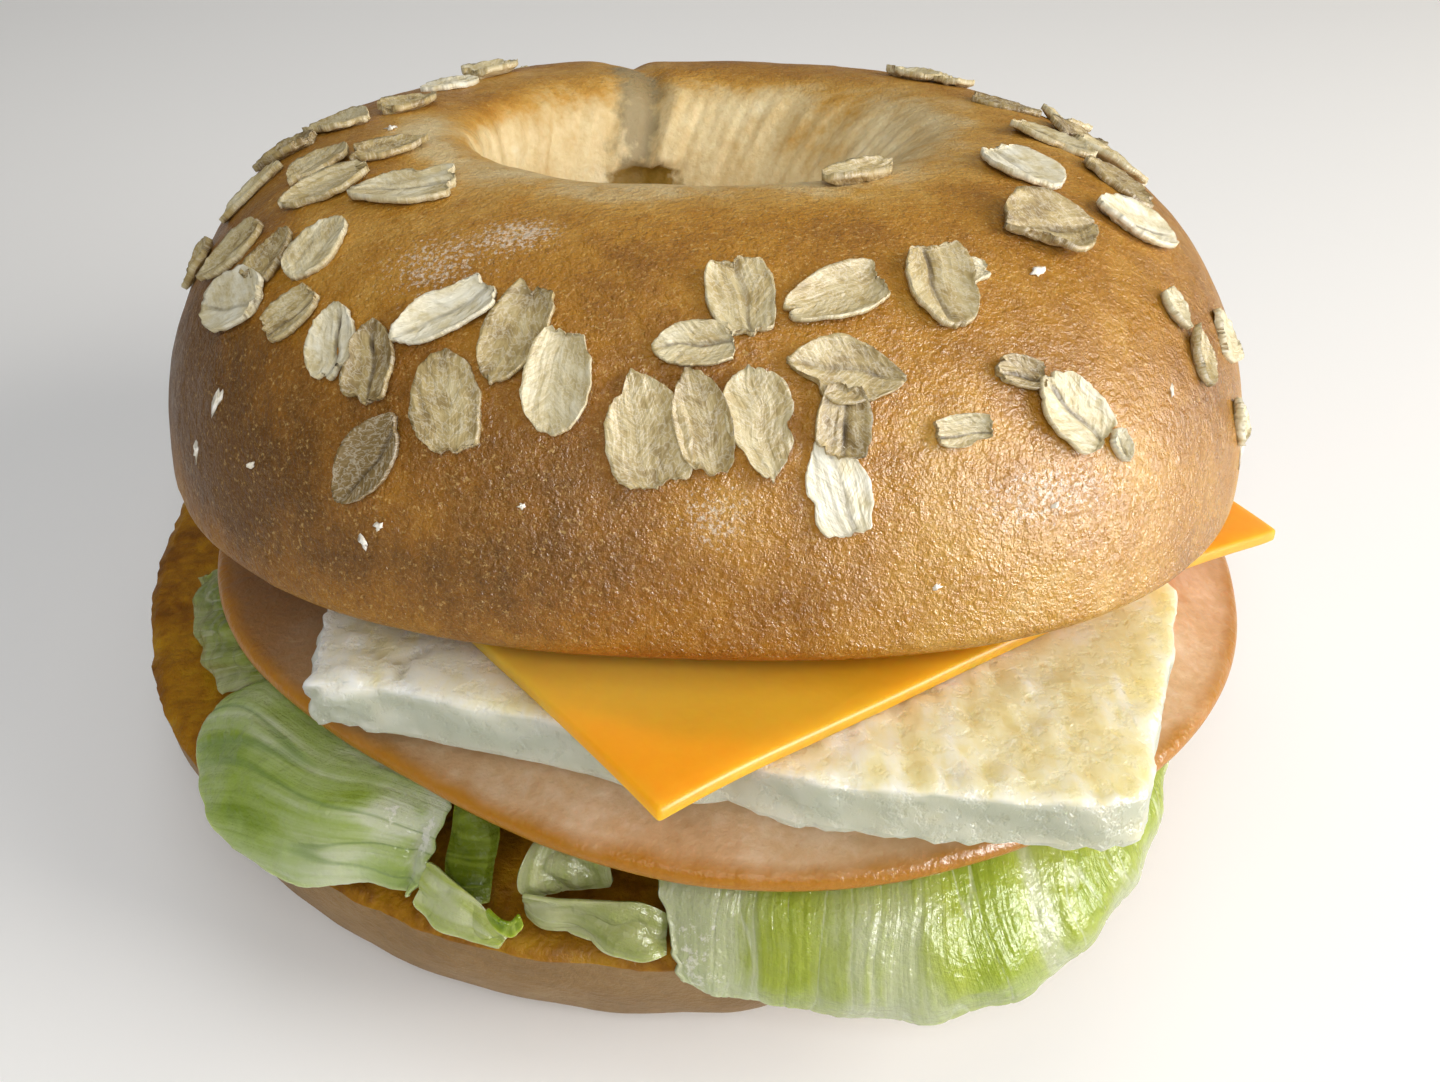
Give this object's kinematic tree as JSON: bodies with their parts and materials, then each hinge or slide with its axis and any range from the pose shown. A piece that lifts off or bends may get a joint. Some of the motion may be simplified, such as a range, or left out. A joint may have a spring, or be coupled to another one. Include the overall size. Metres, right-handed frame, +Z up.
{
  "type": "bagel sandwich",
  "caption": "Filled bagel with an oat-flaked top, layered with cheddar, a slab of white cheese, a round slice of ham and leafy lettuce, leaning back on its thick front filling.",
  "frame": {"origin": "on the surface it stands on, under the middle of the bounding box", "axes": "+Z up, +Y away from the side that shows the filling"},
  "size_m": [0.1292, 0.129, 0.0718],
  "materials": {
    "crust": "baked golden-brown crust, softly glossy, with pale oat flakes",
    "lower_crust": "pale matt crust under a toasted cut face",
    "ham": "moist cooked ham with a browned rim",
    "white_cheese": "moist crumbly white cheese",
    "cheddar": "smooth satin cheddar",
    "lettuce": "wet translucent leaf with pale ribs"
  },
  "bodies": {
    "root": {"bagel_bottom": "lower_crust", "ham_slice": "ham", "white_cheese_slab": "white_cheese", "cheddar_slice": "cheddar", "bagel_top": "crust", "lettuce_bed": "lettuce", "lettuce_front": "lettuce", "lettuce_left": "lettuce", "lettuce_strip": "lettuce", "lettuce_hook": "lettuce", "lettuce_inner": "lettuce", "lettuce_blade": "lettuce", "lettuce_curl": "lettuce", "lettuce_back": "lettuce"}
  },
  "joints": []
}
